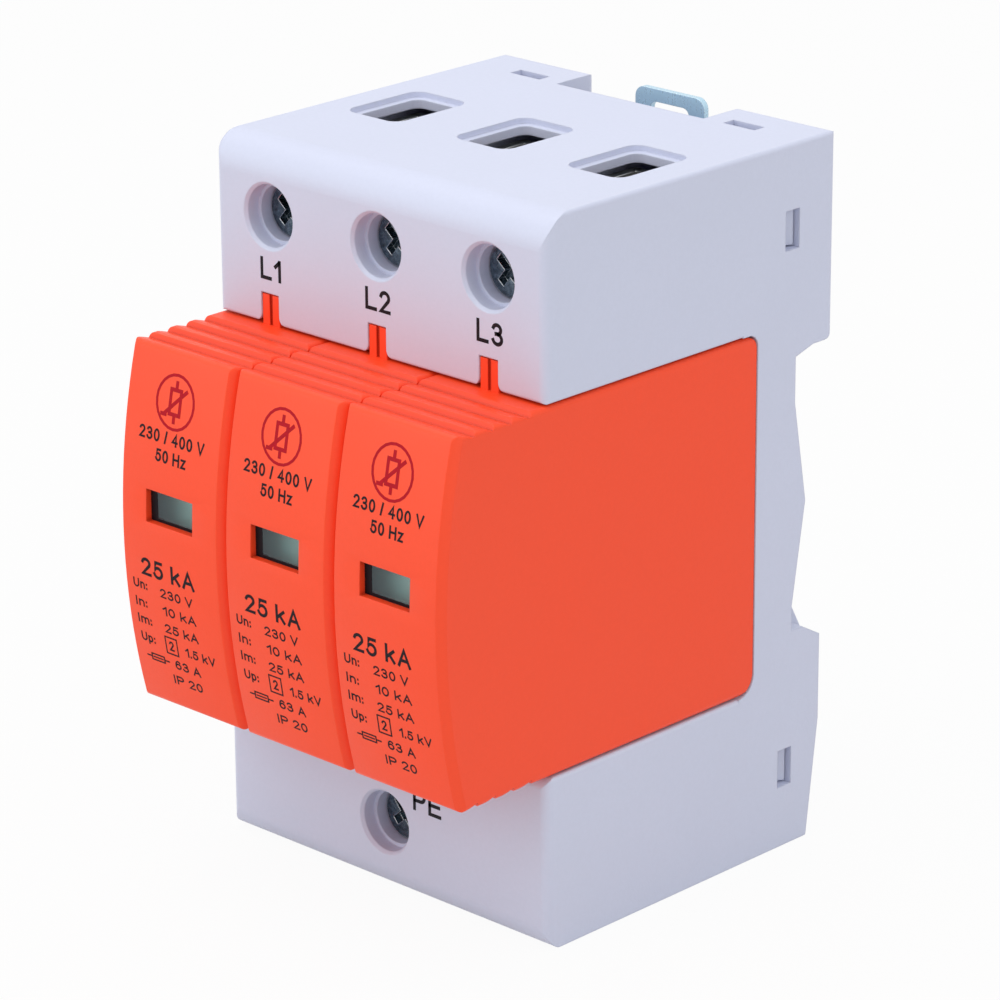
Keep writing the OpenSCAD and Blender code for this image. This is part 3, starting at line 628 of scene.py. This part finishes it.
# The text of each rating, with its height, its middle across and up, and its width in millimetres.
RATINGS = (
    ("230 / 400 V", 1.55, 0.0, 11.7, 11.2),
    ("50 Hz", 1.55, 0.0, 9.4, 5.2),
    ("25 kA", 2.30, -0.6, -5.1, 9.2),
    ("Un:", 1.20, -5.7, -7.6, 2.4),
    ("230 V", 1.20, 0.6, -7.9, 5.6),
    ("In:", 1.20, -5.8, -10.0, 2.0),
    ("10 kA", 1.20, 0.8, -10.2, 5.8),
    ("Im:", 1.20, -5.6, -12.3, 2.4),
    ("25 kA", 1.20, 0.8, -12.5, 5.8),
    ("Up:", 1.20, -5.5, -14.7, 2.4),
    ("2", 1.30, -1.4, -14.8, 0.8),
    ("1.5 kV", 1.20, 3.6, -14.9, 5.2),
    ("63 A", 1.20, 0.9, -17.2, 4.4),
    ("IP 20", 1.20, 0.4, -19.4, 5.0),
)


def ribbon(line, width):
    """A flat strip of even width along a line, with square ends and mitred bends."""
    path = [Vector(p) for p in line]
    closed = (path[0] - path[-1]).length < 0.01 * width
    steps = [(b - a).normalized() for a, b in zip(path, path[1:])]
    if not closed:
        path[0] -= steps[0] * width / 2
        path[-1] += steps[-1] * width / 2
    left, right = [], []
    for i, point in enumerate(path):
        before = steps[i - 1] if i or closed else steps[0]
        after = steps[i] if i < len(steps) else (steps[0] if closed else steps[-1])
        aside = Vector((-before.y - after.y, before.x + after.x)).normalized()
        reach = width / 2 / max(MITRE_LIMIT, aside.dot(Vector((-after.y, after.x))))
        left.append(tuple(point + aside * reach))
        right.append(tuple(point - aside * reach))
    if closed:
        left.pop()
        right.pop()
    count = len(left)
    last = count if closed else count - 1
    faces = [[i, (i + 1) % count, (i + 1) % count + count, i + count] for i in range(last)]
    return left + right, faces


def lettering(text, height, weight, width=None):
    """The strokes of a text, height tall and with its middle at 0, as strips weight wide."""
    gap = LETTER_GAP * height
    widths = [LETTERS[letter][0] * height for letter in text]
    total = sum(widths) + gap * (len(text) - 1)
    spread = (width or total) / total
    shapes, x = [], -total * spread / 2
    for letter, wide in zip(text, widths):
        span, rise = max(0.0, wide * spread - weight), height - weight
        for line in LETTERS[letter][1]:
            points = [(x + weight / 2 + u * span, v * rise - rise / 2) for u, v in line]
            shapes.append(ribbon(points, weight))
        x += (wide + gap) * spread
    return shapes


def stroke(start, end, width):
    """A straight stroke with square ends."""
    return ribbon([start, end], width)


def plate(x0, z0, x1, z1):
    """A filled rectangle."""
    return [(x0, z0), (x1, z0), (x1, z1), (x0, z1)], [[0, 1, 2, 3]]


def frame_strokes(low, high, width):
    """The four strokes of a rectangle's outline."""
    (x0, z0), (x1, z1) = low, high
    return [
        stroke((x0, z0), (x1, z0), width),
        stroke((x0, z1), (x1, z1), width),
        stroke((x0, z0 + width), (x0, z1 - width), width),
        stroke((x1, z0 + width), (x1, z1 - width), width),
    ]


def moved(shapes, x, z):
    """Flat shapes put at a place."""
    return [([(px + x, pz + z) for px, pz in points], faces) for points, faces in shapes]


def thicken(work, step):
    """Draws flat faces out along a step into closed bodies, in the same order on each run."""
    work.verts.index_update()
    flats, rims = list(work.faces), [edge for edge in work.edges if edge.is_boundary]
    drawn = [work.verts.new(corner.co + Vector(step)) for corner in list(work.verts)]
    for flat in flats:
        work.faces.new([drawn[corner.index] for corner in flat.verts])
    for rim in rims:
        start, end = rim.verts
        work.faces.new((start, end, drawn[end.index], drawn[start.index]))
    bmesh.ops.recalc_face_normals(work, faces=work.faces)


def add_object(name, data):
    """Puts a mesh, a lamp or a camera into the scene."""
    made = bpy.data.objects.new(name, data)
    bpy.context.scene.collection.objects.link(made)
    return made


def add_piece(name, work, material):
    """Makes worked faces into a piece with a material."""
    mesh = bpy.data.meshes.new(name)
    work.to_mesh(mesh)
    work.free()
    mesh.materials.append(material)
    return add_object(name, mesh)


def print_on(name, shapes, face, body, material, height):
    """Lays flat shapes on a face of the model as a thin closed film, which rides with a body."""
    work = bmesh.new()
    for points, faces in shapes:
        corners = [work.verts.new((x, face(x, z) + height, z)) for x, z in points]
        for indices in faces:
            work.faces.new([corners[i] for i in indices])
    thicken(work, (0.0, -2.0 * height, 0.0))
    piece = add_piece(name, work, material)
    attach(piece, body)


class ARRESTER_OT_base(bpy.types.Operator):
    """Finish the white base and its rear cover"""

    bl_idname = "arrester.base"
    bl_label = "Base and cover"

    def execute(self, context):
        colours, sizes = values_of(context)
        white = moulded_plastic(
            "base_white", colours.base, sizes.grain,
            roughness=0.46, depth=0.014 * MM, edge=sizes.mould_soft,
        )
        rear = moulded_plastic(
            "cover_white", colours.cover, sizes.grain * COVER_GRAIN,
            roughness=0.52, depth=0.018 * MM, edge=sizes.mould_soft,
        )
        finish_node("housing", white)
        finish_all(["rear_cover"], rear, sizes.cover_edge)
        return {"FINISHED"}


class ARRESTER_OT_modules(bpy.types.Operator):
    """Finish the orange cases of the plug-in modules and the fronts of their keys"""

    bl_idname = "arrester.modules"
    bl_label = "Module cases"

    def execute(self, context):
        colours, sizes = values_of(context)
        # The orange gets painted shade in its grooves and corners.
        orange = moulded_plastic(
            "module_orange", colours.module, sizes.grain, roughness=0.44, depth=0.020 * MM,
            edge=sizes.module_soft, sheen=0.4, groove=sizes.groove,
        )
        finish_all(pole_names("module_case", "module_back"), orange, sizes.module_edge)
        for pole in POLES:
            self.key_face(pole, sizes, orange)
        return {"FINISHED"}

    def key_face(self, pole, sizes, material):
        """The grooved front of a module's key, which fills the base's slot up to its mouth."""
        half, groove, nick, height, stand, depth = mm(1.45, 0.25, 0.35, 3.9, 0.45, 0.78)
        x, top = pole_middle(pole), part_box(f"module_case_{pole}")[1][2] + stand
        front, rear = BASE_FRONT + sizes.key_set, BASE_FRONT + depth
        plan = [
            (-half, rear), (-half, front), (-groove, front), (-groove, front + nick),
            (groove, front + nick), (groove, front), (half, front), (half, rear),
        ]
        work = bmesh.new()
        work.faces.new([work.verts.new((x + u, y, top - height)) for u, y in plan])
        thicken(work, (0.0, 0.0, height))
        piece = add_piece(f"key_face_{pole}", work, material)
        soften(piece, sizes.key_edge)
        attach(piece, f"module_{pole}")


class ARRESTER_OT_windows(bpy.types.Operator):
    """Finish the panes and flags, and add a black border of painted shadow round each pane"""

    bl_idname = "arrester.windows"
    bl_label = "Windows and flags"

    def execute(self, context):
        colours, sizes = values_of(context)
        pane = window_pane("window_pane", colours.pane)
        flag = moulded_plastic(
            "flag_two_tone", colours.flag, sizes.grain,
            roughness=0.40, depth=0.006 * MM, foot=colours.alarm,
        )
        # Painted shadow: a black film where the hollow round each pane lies in shade.
        shadow_sheet = print_and_shadow_ink("window_mask", shade(colours.ink, 0.6), roughness=0.45)
        finish_all(pole_names("module_window"), pane, sizes.metal_edge)
        finish_all(pole_names("status_flag"), flag, sizes.metal_edge)
        for pole in POLES:
            low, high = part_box(f"module_window_{pole}")
            shapes = moved(self.border(sizes), pole_middle(pole), (low[2] + high[2]) / 2)
            print_on(
                f"window_mask_{pole}", shapes, lambda x, z: low[1], f"module_{pole}", shadow_sheet,
                sizes.ink_height,
            )
        return {"FINISHED"}

    def border(self, sizes):
        """The four bars of painted shadow round the clear part of a window, wide at the left."""
        w, h = WINDOW_HALF_X, WINDOW_HALF_Z
        left, foot, rest = -w + sizes.shadow_left, -h + sizes.shadow_foot, sizes.shadow_rest
        return [
            plate(-w, -h, left, h),
            plate(w - rest, -h, w, h),
            plate(left, -h, w - rest, foot),
            plate(left, h - rest, w - rest, h),
        ]


class ARRESTER_OT_clip(bpy.types.Operator):
    """Finish the rail clip and its spring"""

    bl_idname = "arrester.clip"
    bl_label = "Rail clip"

    def execute(self, context):
        colours, sizes = values_of(context)
        # The clip's edges get a painted highlight.
        zinc = plated_steel(
            "clip_zinc", colours.zinc, roughness=0.30, streak=(5.0, 1.0, 0.5),
            tint=(0.575, 0.790, 0.925), edge=sizes.metal_edge, metal=0.45,
        )
        wire = rolled_metal("spring_wire", colours.spring, roughness=0.32)
        finish_node("din_clip", zinc)
        self.pressed_spring(finish_node("clip_spring", wire), wire)
        return {"FINISHED"}

    def pressed_spring(self, node, material):
        """The spring as a welded, smooth copy of the CAD spring that rides with the base."""
        work = bmesh.new()
        work.from_mesh(node.data)
        bmesh.ops.remove_doubles(work, verts=work.verts, dist=WELD)
        for face in work.faces:
            face.smooth = True
        piece = add_piece("pressed_spring", work, material)
        low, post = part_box("clip_spring")
        slide = next(joint for joint in frame["joints"] if joint["name"] == "clip_slide")
        keep = 1.0 - slide["range_m"][1] / (post[2] - low[2])
        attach(piece, "base")
        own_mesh(piece)
        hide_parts("clip_spring")


class ARRESTER_OT_terminals(bpy.types.Operator):
    """Finish the screws, cages and bars of the terminals"""

    bl_idname = "arrester.terminals"
    bl_label = "Terminals"

    def execute(self, context):
        colours, sizes = values_of(context)
        # The screws get painted highlights on their edges.
        dark = turned_steel("screw_dark", colours.screw, roughness=0.26)
        zinc = plated_steel(
            "cage_zinc", colours.cage, roughness=0.34, streak=(1.0, 5.0, 0.5),
            tint=(0.66, 0.66, 0.62),
        )
        copper = rolled_metal("bar_copper", colours.copper, roughness=0.34)
        for name in ["earth_screw", *pole_names("line_screw")]:
            finish_node(name, dark)
        finish_all(["earth_cage", *pole_names("line_cage")], zinc, sizes.metal_edge)
        finish_all(["earth_bar", *pole_names("line_bar")], copper, sizes.metal_edge)
        return {"FINISHED"}


class ARRESTER_OT_inner_parts(bpy.types.Operator):
    """Finish the varistors, blades and release arms in the modules"""

    bl_idname = "arrester.inner_parts"
    bl_label = "Parts in the modules"

    def execute(self, context):
        colours, sizes = values_of(context)
        coat = dipped_epoxy("varistor_coat", colours.varistor)
        tin = rolled_metal("blade_tin", colours.tin, roughness=0.30)
        copper = rolled_metal("arm_copper", colours.copper, roughness=0.36)
        finish_all(pole_names("varistor"), coat, sizes.coat_edge)
        finish_all(pole_names("line_blade", "earth_blade"), tin, sizes.metal_edge)
        finish_all(pole_names("trip_arm"), copper, sizes.arm_edge)
        return {"FINISHED"}


class ARRESTER_OT_terminal_marks(bpy.types.Operator):
    """Print the plain designations beside the terminals"""

    bl_idname = "arrester.terminal_marks"
    bl_label = "Terminal marks"

    def execute(self, context):
        colours, sizes = values_of(context)
        ink = print_and_shadow_ink("mark_ink", colours.ink, roughness=0.48)
        tall, weight = sizes.mark_height, sizes.mark_weight
        for pole in POLES:
            x = pole_middle(pole) + LINE_MARK_ASIDE
            shapes = moved(lettering(f"L{pole}", tall, weight), x, LINE_MARK_Z)
            print_on(f"line_mark_{pole}", shapes, front_of_base, "base", ink, sizes.ink_height)
        shapes = moved(lettering("PE", tall, weight), EARTH_MARK_X, EARTH_MARK_Z)
        print_on("earth_mark", shapes, front_of_base, "base", ink, sizes.ink_height)
        return {"FINISHED"}


class ARRESTER_OT_module_print(bpy.types.Operator):
    """Print a varistor symbol and plain ratings on the modules"""

    bl_idname = "arrester.module_print"
    bl_label = "Module print"

    def execute(self, context):
        colours, sizes = values_of(context)
        black = print_and_shadow_ink("rating_ink", colours.ink, roughness=0.46)
        red = print_and_shadow_ink("symbol_ink", colours.symbol, roughness=0.46)
        for pole in POLES:
            x, body = pole_middle(pole), f"module_{pole}"
            jobs = (("symbol", self.symbol(x), red), ("rating", self.ratings(x), black))
            for job, shapes, ink in jobs:
                name = f"module_{job}_{pole}"
                print_on(name, shapes, front_of_module, body, ink, sizes.ink_height)
        return {"FINISHED"}

    def symbol(self, x):
        """The standard sign for a varistor in a ring: a box with leads and a footed slant."""
        line, ring = mm(0.46, 0.34)
        strokes = frame_strokes(mm(-0.85, -1.45), mm(0.85, 1.45), line)
        strokes += [
            stroke(mm(0.0, 1.9), mm(0.0, 2.3), line),
            stroke(mm(0.0, -2.3), mm(0.0, -1.9), line),
            stroke(mm(-1.6, -1.5), mm(1.7, 1.5), line),
            stroke(mm(-2.1, -1.65), mm(-1.5, -1.65), line),
            ribbon(bow(0.0, 0.0, *mm(3.15, 3.2), 0, 360), ring),
        ]
        return moved(strokes, x, SYMBOL_Z)

    def ratings(self, x):
        """Plain ratings in rows, with a boxed number and the sign for a fuse."""
        shapes = []
        for text, height, across, up, width in RATINGS:
            words = lettering(text, height * MM, RATING_WEIGHT * height * MM, width * MM)
            shapes += moved(words, x + across * MM, up * MM)
        line, wire = mm(0.18, 0.16)
        signs = frame_strokes(mm(-2.4, -15.9), mm(-0.4, -13.7), line)
        signs += frame_strokes(mm(-5.4, -17.6), mm(-3.2, -16.8), line)
        signs += [
            stroke(mm(-6.2, -17.2), mm(-5.6, -17.2), line),
            stroke(mm(-5.1, -17.2), mm(-3.5, -17.2), wire),
            stroke(mm(-3.0, -17.2), mm(-2.4, -17.2), line),
        ]
        return shapes + moved(signs, x, 0.0)


class ARRESTER_OT_stage(bpy.types.Operator):
    """Set the floor, the lamps, the white surroundings and the camera"""

    bl_idname = "arrester.stage"
    bl_label = "Stage"

    def execute(self, context):
        studio = context.scene.arrester_studio
        self.floor(studio)
        self.surroundings(context.scene, studio)
        for name, place, size, power in LAMPS:
            self.lamp(name, place, size, getattr(studio, power))
        self.camera(context.scene, studio)
        context.scene.view_settings.view_transform = "Standard"
        return {"FINISHED"}

    def seen(self, finish):
        """1 where the camera, a reflection or a clear piece looks at the white surroundings."""
        rays = [
            finish.node("ShaderNodeLightPath", output=name)
            for name in ("Is Camera Ray", "Is Glossy Ray", "Is Transmission Ray")
        ]
        return rays[0].maths("MAXIMUM", rays[0], rays[1].maths("MAXIMUM", rays[1], rays[2]))

    def floor(self, studio):
        """A pale floor under the base that shows near white and keeps the shadow."""
        low = CAD_BOX[0][2]
        sides = ((-1, -1), (1, -1), (1, 1), (-1, 1))
        corners = [(x * FLOOR_REACH, y * FLOOR_REACH, low) for x, y in sides]
        mesh = bpy.data.meshes.new("floor")
        mesh.from_pydata(corners, [], [(0, 1, 2, 3)])
        finish = Finish.material("pale_floor")
        matt = finish.node("ShaderNodeBsdfDiffuse", None, {"Color": FLOOR_GREY})
        white = finish.node("ShaderNodeEmission", None, {"Strength": 1.0})
        share = self.seen(finish) * studio.floor_white
        mixed = finish.node("ShaderNodeMixShader", None, {0: share, 1: matt, 2: white})
        finish.node("ShaderNodeOutputMaterial", None, {"Surface": mixed})
        mesh.materials.append(finish.owner)
        floor = add_object("floor", mesh)

    def surroundings(self, scene, studio):
        """White walls all round: plain white to look at, softer as a light."""
        scene.world = bpy.data.worlds.new("studio")
        finish = Finish(scene.world)
        light = finish.node("ShaderNodeBackground", None, {0: WHITE, 1: studio.ambient})
        white = finish.node("ShaderNodeBackground", None, {0: WHITE, 1: 1.0})
        sockets = {0: self.seen(finish), 1: light, 2: white}
        mixed = finish.node("ShaderNodeMixShader", None, sockets)
        finish.node("ShaderNodeOutputWorld", None, {"Surface": mixed})

    def lamp(self, name, place, size, power):
        """A square softbox that faces the arrester."""
        data = bpy.data.lights.new(name, "AREA")
        data.shape, data.size, data.energy = "SQUARE", size, power
        lamp = add_object(name, data)
        lamp.location = place
        lamp.rotation_euler = (-Vector(place)).to_track_quat("-Z", "Y").to_euler()

    def camera(self, scene, studio):
        """The camera at the photograph's angle."""
        turn, rise, roll = studio.azimuth, studio.elevation, studio.roll
        back = Vector(
            (math.sin(turn) * math.cos(rise), -math.cos(turn) * math.cos(rise), math.sin(rise))
        )
        level = Vector((math.cos(turn), math.sin(turn), 0.0))
        upright = back.cross(level)
        right = level * math.cos(roll) + upright * math.sin(roll)
        up = upright * math.cos(roll) - level * math.sin(roll)
        axes = Matrix((right, up, back)).transposed().to_4x4()
        data = bpy.data.cameras.new("camera")
        data.lens, data.sensor_width = studio.lens, SENSOR_WIDTH
        data.clip_start, data.clip_end = NEAREST, FARTHEST
        camera = add_object("camera", data)
        place = Vector(studio.aim) + back * studio.distance
        camera.matrix_world = Matrix.Translation(place) @ axes
        scene.camera = camera


OPERATORS = (
    ARRESTER_OT_base,
    ARRESTER_OT_modules,
    ARRESTER_OT_windows,
    ARRESTER_OT_clip,
    ARRESTER_OT_terminals,
    ARRESTER_OT_inner_parts,
    ARRESTER_OT_terminal_marks,
    ARRESTER_OT_module_print,
    ARRESTER_OT_stage,
)


class ARRESTER_PT_looks(bpy.types.Panel):
    """Lists the steps that finish the arrester"""

    bl_idname = "ARRESTER_PT_looks"
    bl_label = "Surge arrester"
    bl_space_type = "VIEW_3D"
    bl_region_type = "UI"
    bl_category = "Arrester"

    def draw(self, context):
        for group in (*values_of(context), context.scene.arrester_studio):
            for name in group.__annotations__:
                self.layout.prop(group, name)
        for operator in OPERATORS:
            self.layout.operator(operator.bl_idname)


CLASSES = (ArresterColours, ArresterSizes, ArresterStudio, *OPERATORS, ARRESTER_PT_looks)


def register():
    """Registers the classes and the groups of values on the scene."""
    for each in CLASSES:
        bpy.utils.register_class(each)
    bpy.types.Scene.arrester_colours = PointerProperty(type=ArresterColours)
    bpy.types.Scene.arrester_sizes = PointerProperty(type=ArresterSizes)
    bpy.types.Scene.arrester_studio = PointerProperty(type=ArresterStudio)


def unregister():
    """Takes back what register set up."""
    del bpy.types.Scene.arrester_studio
    del bpy.types.Scene.arrester_sizes
    del bpy.types.Scene.arrester_colours
    for each in reversed(CLASSES):
        bpy.utils.unregister_class(each)


def main():
    """Registers the add-on and finishes the arrester."""
    register()
    for operator in OPERATORS:
        group, name = operator.bl_idname.split(".")
        getattr(getattr(bpy.ops, group), name)()


if __name__ == "__main__":
    main()
